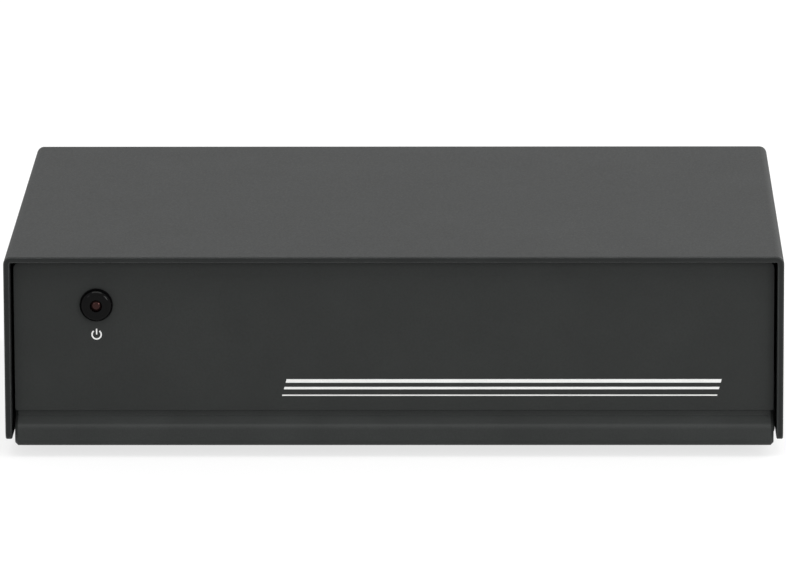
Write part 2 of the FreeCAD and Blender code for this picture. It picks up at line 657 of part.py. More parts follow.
def jack_sleeves(x):
    """The two plated outer contacts of a stacked pair, each with a shoulder in the housing."""
    seat = REAR_INSIDE - JACK_SLEEVE_SEAT
    inner = JACK_SLEEVE_RADIUS - JACK_SLEEVE_WALL
    shoulder = REAR_FACE + JACK_SHOULDER_OUT
    points = [(inner, seat), (JACK_SHOULDER_RADIUS, seat), (JACK_SHOULDER_RADIUS, shoulder),
              (JACK_SLEEVE_RADIUS, shoulder), (JACK_SLEEVE_RADIUS, JACK_MOUTH), (inner, JACK_MOUTH)]
    radii = (0, 0, 0, 0, JACK_SLEEVE_WALL / 2, 0)
    return Part.makeCompound([turned_y(x, z, points, radii) for z in JACK_AXES])


def jack_insulator(x, z):
    """The coloured insulator inside a sleeve, with its narrow tail in the housing."""
    seat = REAR_INSIDE - JACK_SLEEVE_SEAT
    tail = REAR_INSIDE - JACK_UPPER_DEPTH
    face = JACK_MOUTH - JACK_FACE_RECESS
    bore = CONTACT_RADIUS + SMALL_FIT
    points = [(bore, tail), (JACK_TAIL_RADIUS, tail), (JACK_TAIL_RADIUS, seat), (INSULATOR_RADIUS, seat),
              (INSULATOR_RADIUS, face), (bore, face)]
    return turned_y(x, z, points, (0,) * len(points))


def jack_contact(x, z, side):
    """A centre contact: a tube closed at its rear end, with a flag and a leg down to the board."""
    end = CONTACT_END - JACK_LUG_SHEET
    points = [(0, end), (CONTACT_RADIUS, end), (CONTACT_RADIUS, CONTACT_MOUTH), (JACK_BORE_RADIUS, CONTACT_MOUTH),
              (JACK_BORE_RADIUS, CONTACT_END), (0, CONTACT_END)]
    tube = turned_y(x, z, points, (0,) * len(points))
    neck = rod_y(x, z, (REAR_INSIDE - JACK_BLOCK_DEPTH - JACK_LUG_SHEET, end), JACK_LUG_WIDTH / 2)
    sheet = (REAR_INSIDE - JACK_BLOCK_DEPTH - 2 * JACK_LUG_SHEET, REAR_INSIDE - JACK_BLOCK_DEPTH - JACK_LUG_SHEET)
    leg_x = x + side * JACK_LUG_OFFSET
    flag_x = sorted((x - side * JACK_LUG_WIDTH / 2, leg_x + side * JACK_LUG_WIDTH / 2))
    flag = box(flag_x, sheet, centred(z, JACK_LUG_WIDTH))
    leg = box(centred(leg_x, JACK_LUG_WIDTH), sheet, (BOARD_Z - PIN_THROUGH, z))
    return joined([tube, neck, flag, leg])


def jack_leg_slots():
    """The board's slots for the jacks' legs."""
    sheet = (REAR_INSIDE - JACK_BLOCK_DEPTH - 2 * JACK_LUG_SHEET, REAR_INSIDE - JACK_BLOCK_DEPTH - JACK_LUG_SHEET)
    depth = (sheet[0] - PIN_HOLE_GAP, sheet[1] + PIN_HOLE_GAP)
    width = JACK_LUG_WIDTH + 2 * PIN_HOLE_GAP
    return [box(centred(x + side * JACK_LUG_OFFSET, width), depth, (BOARD_Z - 1, BOARD_TOP + 1))
            for x in (INPUT_JACKS_X, OUTPUT_JACKS_X) for side in (-1, 1)]


def jack_panel_screws():
    """One pan-head screw per stacked pair, through the rear wall into the housing."""
    screws = []
    head = REAR_FACE + PANEL_HEAD_HEIGHT
    for x in (INPUT_JACKS_X, OUTPUT_JACKS_X):
        z = sum(JACK_AXES) / 2
        tip = REAR_FACE - PANEL_SCREW_LENGTH
        points = [(0, tip), (PANEL_SCREW_RADIUS, tip), (PANEL_SCREW_RADIUS, REAR_FACE),
                  (PANEL_HEAD_RADIUS, REAR_FACE), (PANEL_HEAD_RADIUS, head), (0, head)]
        screw = turned_y(x, z, points, (0, 0, 0, 0, PANEL_HEAD_HEIGHT / 2, 0))
        screws.append(cross_recess(screw, x, head, z, vec(0, 1, 0)))
    return Part.makeCompound(screws)


def dc_jack_body():
    """The inlet's moulded housing: a block on the board with a round collar through the rear wall."""
    mouth = REAR_FACE + INLET_COLLAR_OUT
    block = box(centred(INLET_X, INLET_WIDTH), (REAR_INSIDE - INLET_DEPTH, REAR_INSIDE),
                (BOARD_TOP, BOARD_TOP + INLET_HEIGHT))
    collar = rod_y(INLET_X, INLET_Z, (REAR_INSIDE - 1, mouth), INLET_COLLAR_RADIUS)
    bottom = mouth - INLET_BORE_DEPTH
    bore = rod_y(INLET_X, INLET_Z, (bottom, mouth + 1), INLET_BORE_RADIUS)
    groove_low = INLET_Z - INLET_BORE_RADIUS - INLET_GROOVE_DEPTH
    groove = box(centred(INLET_X, INLET_GROOVE_WIDTH), (bottom, REAR_INSIDE - 1), (groove_low, INLET_Z))
    shaft = rod_y(INLET_X, INLET_Z, (REAR_INSIDE - INLET_DEPTH - 1, mouth), INLET_ROOT_RADIUS + SMALL_FIT)
    well = box(centred(INLET_X, INLET_GROOVE_WIDTH), (bottom, bottom + 3 * INLET_SPRING_SHEET),
               (BOARD_TOP - 1, INLET_Z))
    return cut_all(joined([block, collar]), [bore, groove, shaft, well])


def dc_jack_pin():
    """The inlet's round centre pin: a thicker root in the housing and a solder leg behind it."""
    mouth = REAR_FACE + INLET_COLLAR_OUT
    rear = REAR_INSIDE - INLET_DEPTH - INLET_PIN_RADIUS
    root = mouth - INLET_BORE_DEPTH
    points = [(0, rear), (INLET_ROOT_RADIUS, rear), (INLET_ROOT_RADIUS, root), (INLET_PIN_RADIUS, root),
              (INLET_PIN_RADIUS, mouth - INLET_PIN_RECESS), (0, mouth - INLET_PIN_RECESS)]
    pin = turned_y(INLET_X, INLET_Z, points, (0, 0, 0, 0, INLET_PIN_RADIUS * 0.5, 0))
    leg = box(centred(INLET_X, INLET_PIN_TAIL), (rear - INLET_SPRING_SHEET, rear),
              (BOARD_Z - PIN_THROUGH, INLET_Z + INLET_PIN_RADIUS))
    return joined([pin, leg])


def dc_spring_section():
    """The inlet spring's centre line, as a flat polyline of (y, z)."""
    bottom = REAR_FACE + INLET_COLLAR_OUT - INLET_BORE_DEPTH
    low = INLET_Z - INLET_BORE_RADIUS - INLET_GROOVE_DEPTH + INLET_SPRING_SHEET
    crown = INLET_Z - INLET_BORE_RADIUS + INLET_SPRING_SHEET
    leg = bottom + INLET_SPRING_SHEET
    return [(leg, BOARD_Z - PIN_THROUGH), (leg, low), (leg + INLET_SPRING_CROWN, crown),
            (leg + INLET_SPRING_TIP, low)]


def dc_jack_spring():
    """The inlet's leaf contact: bowed up into the bore, with a leg down through the board."""
    outline = dc_spring_section()[::-1]
    width = INLET_GROOVE_WIDTH - 4 * SMALL_FIT
    bends = (INLET_SPRING_SHEET * 2, INLET_SPRING_SHEET)
    face = sheet_face(outline, INLET_SPRING_SHEET, bends, lambda p: vec(INLET_X - width / 2, p[0], p[1]))
    return face.extrude(vec(width, 0, 0))


def inlet_leg_slots():
    """The board's slots for the inlet's two legs."""
    rear = REAR_INSIDE - INLET_DEPTH - INLET_PIN_RADIUS
    bottom = REAR_FACE + INLET_COLLAR_OUT - INLET_BORE_DEPTH
    through = (BOARD_Z - 1, BOARD_TOP + 1)
    pin_slot = box(centred(INLET_X, INLET_PIN_TAIL + 2 * PIN_HOLE_GAP),
                   (rear - INLET_SPRING_SHEET - PIN_HOLE_GAP, rear + PIN_HOLE_GAP), through)
    spring_slot = box(centred(INLET_X, INLET_GROOVE_WIDTH + PIN_HOLE_GAP),
                      (bottom - PIN_HOLE_GAP, bottom + 2 * INLET_SPRING_SHEET + PIN_HOLE_GAP), through)
    return [pin_slot, spring_slot]


def ground_post():
    """The terminal's stud with a round shoulder against the rear wall."""
    inner = REAR_INSIDE - POST_INSIDE
    outer = REAR_FACE + POST_OUT
    points = [(0, inner), (POST_RADIUS, inner), (POST_RADIUS, REAR_FACE), (SHOULDER_RADIUS, REAR_FACE),
              (SHOULDER_RADIUS, REAR_FACE + SHOULDER_THICKNESS), (POST_RADIUS, REAR_FACE + SHOULDER_THICKNESS),
              (POST_RADIUS, outer - POST_CHAMFER), (POST_RADIUS - POST_CHAMFER, outer), (0, outer)]
    return turned_y(GROUND_X, GROUND_Z, points, (0, 0, 0, 0, POST_CHAMFER, 0, 0, 0, 0))


def ground_lug():
    """The solder tag round the stud, its tail turned down into the board."""
    span = (REAR_INSIDE - LUG_SHEET, REAR_INSIDE)
    ring = rod_y(GROUND_X, GROUND_Z, span, LUG_RADIUS)
    tail = box(centred(GROUND_X, LUG_TAIL_WIDTH), span, (BOARD_Z - PIN_THROUGH, GROUND_Z))
    hole = rod_y(GROUND_X, GROUND_Z, span, POST_RADIUS + POST_FIT)
    return joined([ring, tail]).cut(hole)


def ground_inner_nut():
    """The plain nut that draws the stud's shoulder against the rear wall."""
    span = (REAR_INSIDE - LUG_SHEET - INNER_NUT_THICKNESS, REAR_INSIDE - LUG_SHEET)
    nut = hex_rod_y(GROUND_X, GROUND_Z, span, INNER_NUT_FLATS)
    return nut.cut(rod_y(GROUND_X, GROUND_Z, span, POST_RADIUS + POST_FIT))


def washer_start():
    """Depth at which the captive washer starts, at rest."""
    return REAR_FACE + SHOULDER_THICKNESS + TURNING_GAP


def ground_washer():
    """The captive washer that travels with the thumb nut."""
    start = washer_start()
    bore = POST_RADIUS + POST_FIT
    points = [(bore, start), (WASHER_RADIUS, start), (WASHER_RADIUS, start + WASHER_THICKNESS),
              (bore, start + WASHER_THICKNESS)]
    return turned_y(GROUND_X, GROUND_Z, points, (0, WASHER_THICKNESS / 4, WASHER_THICKNESS / 4, 0))


def ground_thumb_nut():
    """The knurled thumb nut: a plain collar towards the wall and a fluted grip behind it."""
    start = washer_start() + WASHER_THICKNESS + TURNING_GAP
    grip = start + NUT_COLLAR_LENGTH
    end = start + NUT_LENGTH
    bore = POST_RADIUS + POST_FIT
    points = [(bore, start), (NUT_COLLAR_RADIUS, start), (NUT_COLLAR_RADIUS, grip), (NUT_RADIUS, grip),
              (NUT_RADIUS, end), (bore, end)]
    nut = turned_y(GROUND_X, GROUND_Z, points, (0, 0, 0, 0, NUT_END_CHAMFER, 0))
    flutes = []
    for index in range(NUT_FLUTES):
        flute = box((-NUT_FLUTE_DEPTH, NUT_FLUTE_DEPTH), (grip - 1, end + 1), (-NUT_FLUTE_DEPTH, NUT_FLUTE_DEPTH))
        flute.rotate(vec(0, 0, 0), vec(0, 1, 0), 45)
        flute.translate(vec(GROUND_X + NUT_RADIUS, 0, GROUND_Z))
        flute.rotate(vec(GROUND_X, 0, GROUND_Z), vec(0, 1, 0), 360 * index / NUT_FLUTES)
        flutes.append(flute)
    return nut.cut(Part.makeCompound(flutes))


def circuit_board():
    """The board with rounded corners, fixing holes and holes for the tall parts' legs."""
    corners = [(-BOARD_HALF, BOARD_FRONT), (BOARD_HALF, BOARD_FRONT), (BOARD_HALF, BOARD_REAR),
               (-BOARD_HALF, BOARD_REAR)]
    face = polygon_face(corners, (BOARD_CORNER,) * 4, lambda p: vec(p[0], p[1], BOARD_Z))
    board = face.extrude(vec(0, 0, BOARD_THICKNESS))
    through = (BOARD_Z - 1, BOARD_TOP + 1)
    tools = [rod_z(x, y, through, SCREW_HOLE_RADIUS) for x, y in board_holes()]
    places, _, drop = lamp_lead_places()
    tools.extend(rod_z(x, drop, through, LAMP_LEAD_SIZE / 2 + PIN_HOLE_GAP) for x in places)
    tools.extend(jack_leg_slots())
    tools.extend(inlet_leg_slots())
    lug_depth = (REAR_INSIDE - LUG_SHEET - PIN_HOLE_GAP, REAR_INSIDE)
    tools.append(box(centred(GROUND_X, LUG_TAIL_WIDTH + 2 * PIN_HOLE_GAP), lug_depth, through))
    return cut_all(board, tools)


def can_capacitor(x, y, size):
    """An upright can with a chamfered top."""
    radius, height = size
    points = [(0, BOARD_TOP), (radius, BOARD_TOP), (radius, BOARD_TOP + height), (0, BOARD_TOP + height)]
    return turned_z(x, y, points, (0, 0, CAN_CHAMFER, 0))


def cans(spots, size):
    """A group of upright cans."""
    return Part.makeCompound([can_capacitor(x, BOARD_FRONT + y, size) for x, y in spots])


def film_capacitors():
    """Box-shaped film capacitors."""
    blocks = []
    for x, y in FILM_SPOTS:
        low = BOARD_TOP
        block = box(centred(x, FILM_SIZE[0]), centred(BOARD_FRONT + y, FILM_SIZE[1]), (low, low + FILM_SIZE[2]))
        tops = [edge for edge in block.Edges if abs(edge.CenterOfMass.z - low - FILM_SIZE[2]) < 1e-6]
        blocks.append(block.makeChamfer(FILM_LIFT, tops))
    return Part.makeCompound(blocks)


def opamp_chips():
    """Eight-leg amplifier chips: a notched body with bent legs down both sides."""
    chips = []
    for x, spot in CHIP_SPOTS:
        y = BOARD_FRONT + spot
        low = BOARD_TOP + CHIP_LIFT
        high = low + CHIP_SIZE[2]
        body = box(centred(x, CHIP_SIZE[0]), centred(y, CHIP_SIZE[1]), (low, high))
        notch = rod_z(x - CHIP_SIZE[0] / 2, y, (high - CHIP_LIFT, high + 1), CHIP_LIFT * 1.5)
        solids = [body.cut(notch)]
        shoulder = low + CHIP_SIZE[2] / 2
        for column in range(4):
            middle = x + (column - 1.5) * CHIP_PIN_PITCH
            for side in (-1, 1):
                edge = y + side * CHIP_SIZE[1] / 2
                row = y + side * CHIP_PIN_ROW / 2
                arm = sorted((edge - side * CHIP_LIFT, row + side * CHIP_PIN_WIDTH / 2))
                wide = centred(middle, CHIP_PIN_WIDTH * 2)
                solids.append(box(wide, arm, (shoulder - CHIP_PIN_WIDTH / 2, shoulder)))
                solids.append(box(centred(middle, CHIP_PIN_WIDTH), centred(row, CHIP_PIN_WIDTH),
                                  (BOARD_TOP, shoulder)))
        chips.append(joined(solids))
    return Part.makeCompound(chips)


def resistors():
    """Axial resistors: a round body and two legs bent down to the board."""
    pieces = []
    for x, row in itertools.product(RESISTOR_COLUMNS, RESISTOR_ROWS):
        y = BOARD_FRONT + row
        z = BOARD_TOP + RESISTOR_LIFT + RESISTOR_RADIUS
        body = rod_x(y, z, centred(x, RESISTOR_LENGTH), RESISTOR_RADIUS)
        lead = box(centred(x, RESISTOR_PITCH), centred(y, 2 * LEAD_RADIUS), centred(z, 2 * LEAD_RADIUS))
        legs = [box(centred(x + side * RESISTOR_PITCH / 2, 2 * LEAD_RADIUS), centred(y, 2 * LEAD_RADIUS),
                    (BOARD_TOP, z + LEAD_RADIUS)) for side in (-1, 1)]
        pieces.append(joined([body, lead] + legs))
    return Part.makeCompound(pieces)


def voltage_regulator():
    """An upright regulator: moulded body, metal tab with its hole, three legs."""
    inset, spot = REGULATOR_SPOT
    x = inset - BOARD_HALF
    y = BOARD_FRONT + spot
    low = BOARD_TOP + REGULATOR_LIFT
    body = box(centred(x, REGULATOR_BODY[0]), centred(y, REGULATOR_BODY[1]), (low, low + REGULATOR_BODY[2]))
    back = y + REGULATOR_BODY[1] / 2
    tab = box(centred(x, REGULATOR_BODY[0]), (back - REGULATOR_TAB_SHEET, back), (low, low + REGULATOR_TAB_HEIGHT))
    hole_z = (low + REGULATOR_BODY[2] + low + REGULATOR_TAB_HEIGHT) / 2
    hole = rod_y(x, hole_z, (back - 2 * REGULATOR_TAB_SHEET, back + 1), REGULATOR_HOLE_RADIUS)
    legs = [box(centred(x + k * CHIP_PIN_PITCH, REGULATOR_PIN_WIDTH), centred(y, CHIP_PIN_WIDTH), (BOARD_TOP, low))
            for k in (-1, 0, 1)]
    return joined([body, tab] + legs).cut(hole)


def parts():
    """Every piece of the preamplifier by name."""
    low_axis, high_axis = JACK_AXES
    pairs = (INPUT_JACKS_X, OUTPUT_JACKS_X)
    contacts = [jack_contact(x, z, side) for x in pairs for z, side in ((low_axis, 1), (high_axis, -1))]
    return {
        "top_cover": top_cover(),
        "bottom_tray": bottom_tray(),
        "front_fascia": front_fascia(),
        "led_bezel": led_bezel(),
        "led_lamp": led_lamp(),
        "led_leads": led_leads(),
        "circuit_board": circuit_board(),
        "board_standoffs": board_standoffs(),
        "board_screws": board_screws(),
        "input_jack_block": jack_block(INPUT_JACKS_X),
        "output_jack_block": jack_block(OUTPUT_JACKS_X),
        "input_jack_sleeves": jack_sleeves(INPUT_JACKS_X),
        "output_jack_sleeves": jack_sleeves(OUTPUT_JACKS_X),
        "left_channel_insulators": Part.makeCompound([jack_insulator(x, high_axis) for x in pairs]),
        "right_channel_insulators": Part.makeCompound([jack_insulator(x, low_axis) for x in pairs]),
        "jack_center_contacts": Part.makeCompound(contacts),
        "jack_panel_screws": jack_panel_screws(),
        "dc_jack_body": dc_jack_body(),
        "dc_jack_pin": dc_jack_pin(),
        "dc_jack_spring": dc_jack_spring(),
        "ground_post": ground_post(),
        "ground_lug": ground_lug(),
        "ground_inner_nut": ground_inner_nut(),
        "ground_washer": ground_washer(),
        "ground_thumb_nut": ground_thumb_nut(),
        "filter_capacitors": cans(FILTER_SPOTS, FILTER_CAN),
        "coupling_capacitors": cans(COUPLING_SPOTS, COUPLING_CAN),
        "film_capacitors": film_capacitors(),
        "opamp_chips": opamp_chips(),
        "resistors": resistors(),
        "voltage_regulator": voltage_regulator(),
        "cover_screws": cover_screws(),
        "rubber_feet": rubber_feet(),
    }


def main():
    """Build every piece and write its file."""
    os.makedirs("parts", exist_ok=True)
    for name, shape in parts().items():
        shape.exportStep("parts/" + name + ".step")
        span = shape.BoundBox
        print(name, len(shape.Solids), shape.isValid(), round(shape.Volume, 3),
              [round(v, 3) for v in (span.XMin, span.XMax, span.YMin, span.YMax, span.ZMin, span.ZMax)])


main()
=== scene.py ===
"""Looks of a desktop phono preamplifier: finishes, printed marks, threaded stud and studio.

Metres, +Z up, front towards -Y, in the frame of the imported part.
"""
from __future__ import annotations

import logging
import math
from dataclasses import dataclass, replace
from enum import Enum
from typing import Callable, ClassVar, Sequence

import bmesh
import bpy
from mathutils import Matrix, Vector

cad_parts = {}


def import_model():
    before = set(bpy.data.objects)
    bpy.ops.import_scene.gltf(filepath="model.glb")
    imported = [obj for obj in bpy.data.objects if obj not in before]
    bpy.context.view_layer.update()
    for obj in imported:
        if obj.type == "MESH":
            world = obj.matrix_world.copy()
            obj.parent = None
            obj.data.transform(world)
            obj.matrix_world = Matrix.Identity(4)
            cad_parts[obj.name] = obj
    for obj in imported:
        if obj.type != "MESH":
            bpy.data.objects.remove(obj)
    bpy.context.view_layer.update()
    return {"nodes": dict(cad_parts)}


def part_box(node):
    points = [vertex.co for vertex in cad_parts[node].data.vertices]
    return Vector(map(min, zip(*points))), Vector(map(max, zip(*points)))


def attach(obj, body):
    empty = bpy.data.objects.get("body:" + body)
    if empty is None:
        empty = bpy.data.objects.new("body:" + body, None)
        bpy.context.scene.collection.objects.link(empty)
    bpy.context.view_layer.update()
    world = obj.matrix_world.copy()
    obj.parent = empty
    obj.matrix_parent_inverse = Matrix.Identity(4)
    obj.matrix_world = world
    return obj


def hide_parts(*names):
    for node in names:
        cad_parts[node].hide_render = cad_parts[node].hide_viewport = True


LOG = logging.getLogger("preamp")
MM = 0.001
Colour = tuple[float, float, float]
Point = tuple[float, float, float]
Socket = bpy.types.NodeSocket
BLACK: Colour = (0.0, 0.0, 0.0)
WHITE: Colour = (1.0, 1.0, 1.0)
EVEN_STRETCH = (1.0, 1.0, 1.0)


class Body(Enum):
    """The body that the scene's own pieces ride on."""

    CHASSIS = "chassis"


class Grain(Enum):
    """How the small texture of a surface lies, as its stretch along X, Y and Z."""

    EVEN = EVEN_STRETCH
    TURNED = (1.0, 12.0, 1.0)


class Graph:
    """The node tree of one material, with short calls for the nodes that the finishes share."""

    NOISE_ROUGHNESS = 0.55
    MIDDLE_OF_NOISE = (0.3, 0.7)
    BEVEL_SAMPLES = 6
    EDGE_TO_FLAT = (0.8, 0.99)
    MIX_COLOURS = (6, 7)
    MIX_RESULT = 2

    def __init__(self, name: str) -> None:
        """Start an empty tree.

        Args:
            name: the material's name.
        """
        self.material = bpy.data.materials.new(name)
        self.material.use_nodes = True
        self.tree = self.material.node_tree
        self.tree.nodes.clear()

    def add(self, kind: str, inputs: dict[str, object] | None = None, **settings: object) -> bpy.types.Node:
        """Add a node.

        Args:
            kind: Blender's name of the node type.
            inputs: a constant or a socket to link, by input name.
            settings: the node's own properties.

        Returns:
            The new node.
        """
        node = self.tree.nodes.new(kind)
        for key, value in settings.items():
            setattr(node, key, value)
        for key, value in (inputs or {}).items():
            if isinstance(value, bpy.types.NodeSocket):
                self.tree.links.new(value, node.inputs[key])
            else:
                node.inputs[key].default_value = value
        return node

    def place(self, stretch: Sequence[float] = EVEN_STRETCH) -> Socket:
        """The object's own coordinates, scaled by a stretch on each axis."""
        where = self.add("ShaderNodeTexCoord").outputs["Object"]
        return self.add("ShaderNodeMapping", {"Vector": where, "Scale": tuple(stretch)}).outputs["Vector"]

    def noise(self, size: float, detail: float, stretch: Sequence[float] = EVEN_STRETCH) -> Socket:
        """Soft noise.

        Args:
            size: the size of its blotches, in metres.
            detail: how many finer layers it has.
            stretch: how it is drawn out along X, Y and Z.

        Returns:
            The socket with its value, mostly between MIDDLE_OF_NOISE's two ends.
        """
        inputs = {"Vector": self.place(stretch), "Scale": 1.0 / size, "Detail": detail,
                  "Roughness": self.NOISE_ROUGHNESS}
        return self.add("ShaderNodeTexNoise", inputs).outputs["Fac"]

    def span(self, value: Socket, low: float, high: float,
             read: tuple[float, float] = MIDDLE_OF_NOISE) -> Socket:
        """Lay a value out between two others.

        Args:
            value: the socket that is read.
            low: the result at the start of the part that is read.
            high: the result at that part's end.
            read: the part of the value that is read, as its start and its end.

        Returns:
            The socket with the result.
        """
        inputs = {"Value": value, "From Min": read[0], "From Max": read[1], "To Min": low, "To Max": high}
        return self.add("ShaderNodeMapRange", inputs).outputs["Result"]

    def share(self, value: Socket, low: float, high: float) -> Socket:
        """A share from 0 to 1, laid out between low and high."""
        return self.span(value, low, high, (0.0, 1.0))

    def blend(self, share: Socket, first: Colour | Socket, second: Colour | Socket) -> Socket:
        """Mix two colours.

        Args:
            share: the second colour's share, from 0 to 1.
            first: a colour, or the socket that gives it.
            second: a colour, or the socket that gives it.

        Returns:
            The socket with the mixed colour.
        """
        node = self.add("ShaderNodeMix", data_type="RGBA")
        self.tree.links.new(share, node.inputs["Factor"])
        for index, value in zip(self.MIX_COLOURS, (first, second)):
            if isinstance(value, bpy.types.NodeSocket):
                self.tree.links.new(value, node.inputs[index])
            else:
                node.inputs[index].default_value = (*value, 1.0)
        return node.outputs[self.MIX_RESULT]

    def edges(self, radius: float) -> tuple[Socket, Socket]:
        """Softened edges.

        Args:
            radius: how far the softening reaches from an edge, in metres.

        Returns:
            The softened normal, and a share that is high along edges.
        """
        soft = self.add("ShaderNodeBevel", {"Radius": radius}, samples=self.BEVEL_SAMPLES).outputs["Normal"]
        sharp = self.add("ShaderNodeNewGeometry").outputs["Normal"]
        likeness = self.add("ShaderNodeVectorMath", {0: soft, 1: sharp}, operation="DOT_PRODUCT")
        return soft, self.span(likeness.outputs["Value"], 1.0, 0.0, self.EDGE_TO_FLAT)

    def close(self, shader: bpy.types.Node) -> bpy.types.Material:
        """Link the last shader to the output and hand the material over."""
        self.add("ShaderNodeOutputMaterial", {"Surface": shader.outputs[0]})
        return self.material


@dataclass(frozen=True)
class Finish:
    """A finish: its colour and gloss, and the small texture that breaks them up."""

    FINE_DETAIL: ClassVar[float] = 4.0
    BROAD_DETAIL: ClassVar[float] = 2.0
    BROAD_TO_FINE: ClassVar[float] = 40
    PALE_CLOUDS: ClassVar[float] = 0.5
    DARK_CLOUDS: ClassVar[float] = 0.6
    EDGE_HIGHLIGHT_SHARE: ClassVar[float] = 0.7
    EDGE_HIGHLIGHT_BASE: ClassVar[float] = 0.01
    COAT_ROUGHNESS: ClassVar[float] = 0.12

    name: str
    colour: Colour
    roughness: float
    metallic: float = 0.0
    specular: float = 0.5
    coat: float = 0.0
    specular_tint: Colour = WHITE
    grain: Grain = Grain.EVEN
    grain_size: float = 0.30 * MM
    grain_depth: float = 0.004 * MM
    mottle: float = 0.10
    roughness_spread: float = 0.06
    edge_radius: float = 0.12 * MM
    # How much paler the painted edge highlight is than the colour: painted light, not wear.
    edge_highlight_lift: float = 0.25
    edge_gloss: float = 0.0

    def tint(self, graph: Graph) -> Socket | Colour:
        """The colour before grain and the painted edge highlight; a finish with a pattern replaces this.

        Args:
            graph: the material's tree; not used here, only by the finishes with a pattern.

        Returns:
            A colour, or the socket that gives it.
        """
        return self.colour

    def material(self) -> bpy.types.Material:
        """Build the material.

        Returns:
            The finished material.
        """
        graph = Graph(self.name)
        fine = graph.noise(self.grain_size, self.FINE_DETAIL, self.grain.value)
        broad = graph.noise(self.grain_size * self.BROAD_TO_FINE, self.BROAD_DETAIL)
        grained = graph.blend(graph.span(fine, self.mottle, 0.0), self.tint(graph), BLACK)
        clouds, cloud_colour = (self.PALE_CLOUDS, WHITE) if self.metallic else (self.DARK_CLOUDS, BLACK)
        varied = graph.blend(graph.span(broad, 0.0, self.mottle * clouds), grained, cloud_colour)
        soft, rim = graph.edges(self.edge_radius)
        # Painted highlight: the colour turns paler along edges, standing in for light caught by the rounded
        # edges.
        colour = graph.blend(graph.share(rim, 0.0, self.EDGE_HIGHLIGHT_SHARE), varied, self.painted_edge_highlight())
        coat = graph.share(rim, self.coat, self.edge_gloss) if self.edge_gloss else self.coat
        low, high = self.roughness - self.roughness_spread, self.roughness + self.roughness_spread
        bump = graph.add("ShaderNodeBump", {"Height": fine, "Distance": self.grain_depth,
                                            "Strength": 1.0, "Normal": soft}).outputs["Normal"]
        return graph.close(graph.add("ShaderNodeBsdfPrincipled", {
            "Base Color": colour, "Roughness": graph.span(fine, low, high), "Metallic": self.metallic,
            "Specular IOR Level": self.specular, "Specular Tint": (*self.specular_tint, 1.0),
            "Coat Weight": coat, "Coat Roughness": self.COAT_ROUGHNESS,
            "Normal": bump, "Coat Normal": bump}))

    def painted_edge_highlight(self) -> Colour:
        """The paler colour painted along edges as a highlight."""
        return tuple(min(1.0, channel * (1 + self.edge_highlight_lift) + self.EDGE_HIGHLIGHT_BASE * self.edge_highlight_lift)
                     for channel in self.colour)


@dataclass(frozen=True)
class BoardFinish(Finish):
    """Solder mask over copper: tracks show as paler runs under the green."""

    track_pitch: float = 2.54 * MM
    track_colour: Colour = (0.03, 0.17, 0.07)
    track_width: float = 0.12
    track_length: float = 7.0

    def tint(self, graph: Graph) -> Socket:
        """Green with paler tracks on the board's grid."""
        inputs = {"Vector": graph.place(), "Scale": 1.0 / self.track_pitch,
                  "Color1": (*self.colour, 1.0), "Color2": (*self.colour, 1.0),
                  "Mortar": (*self.track_colour, 1.0), "Mortar Size": self.track_width,
                  "Brick Width": self.track_length, "Row Height": 1.0}
        return graph.add("ShaderNodeTexBrick", inputs).outputs["Color"]


@dataclass(frozen=True)
class BandedFinish(Finish):
    """Lacquer with coloured rings along X, repeated at each part's place."""

    # How far apart the bands of a wave texture are at a scale of 1.
    WAVE_REPEAT: ClassVar[float] = 0.314

    ring_pitch: float = 1.1 * MM
    ring_colour: Colour = (0.25, 0.08, 0.02)
    ring_edge: tuple[float, float] = (0.80, 0.84)

    def tint(self, graph: Graph) -> Socket:
        """Lacquer crossed by rings."""
        inputs = {"Vector": graph.place(), "Scale": self.WAVE_REPEAT / self.ring_pitch}
        wave = graph.add("ShaderNodeTexWave", inputs, bands_direction="X").outputs["Fac"]
        return graph.blend(graph.span(wave, 0.0, 1.0, self.ring_edge), self.colour, self.ring_colour)


# The cover and the tray wear the same powder coat. This copy is darker, as painted shade on the cover's cut
# edge, and has a strong painted highlight along its edges.
POWDER_COAT = Finish("powder_coat", (0.0165, 0.0180, 0.0176), 0.56, specular=0.15, grain_size=0.26 * MM,
                     grain_depth=0.014 * MM, mottle=0.30, roughness_spread=0.07, edge_radius=0.24 * MM,
                     edge_highlight_lift=3.6, edge_gloss=1.0)
# A lighter copy of the same coat, as painted light on the tray's lip.
TRAY_COAT = replace(POWDER_COAT, name="tray_coat", colour=(0.0285, 0.0310, 0.0301), specular=0.20,
                    edge_radius=0.12 * MM, edge_highlight_lift=0.2, edge_gloss=0.3)
FASCIA_PAINT = Finish("fascia_paint", (0.0215, 0.0235, 0.0226), 0.54, specular=0.20, grain_size=0.30 * MM,
                      grain_depth=0.009 * MM, mottle=0.22, edge_radius=0.10 * MM, edge_highlight_lift=0.4)
BEZEL_BLACK = Finish("bezel_black", (0.0012, 0.0012, 0.0013), 0.13, specular=0.09, grain_size=0.5 * MM,
                     grain_depth=0.001 * MM, edge_radius=0.05 * MM, edge_highlight_lift=0.2, roughness_spread=0.03)
LAMP_RED = Finish("lamp_red", (0.010, 0.005, 0.005), 0.07, specular=0.32, specular_tint=(1.0, 0.48, 0.44),
                  grain_size=0.4 * MM, grain_depth=0.0005 * MM, roughness_spread=0.03,
                  edge_radius=0.03 * MM)
PRINT_WHITE = Finish("print_white", (0.80, 0.80, 0.79), 0.55, specular=0.3, grain_size=0.15 * MM,
                     grain_depth=0.002 * MM, mottle=0.12, edge_radius=0.01 * MM, edge_highlight_lift=0.0)
TINNED_WIRE = Finish("tinned_wire", (0.62, 0.62, 0.60), 0.32, metallic=1.0, grain_size=0.2 * MM, mottle=0.2)
BOARD_GREEN = BoardFinish("board_green", (0.012, 0.085, 0.034), 0.30, coat=0.3, grain_size=0.4 * MM)
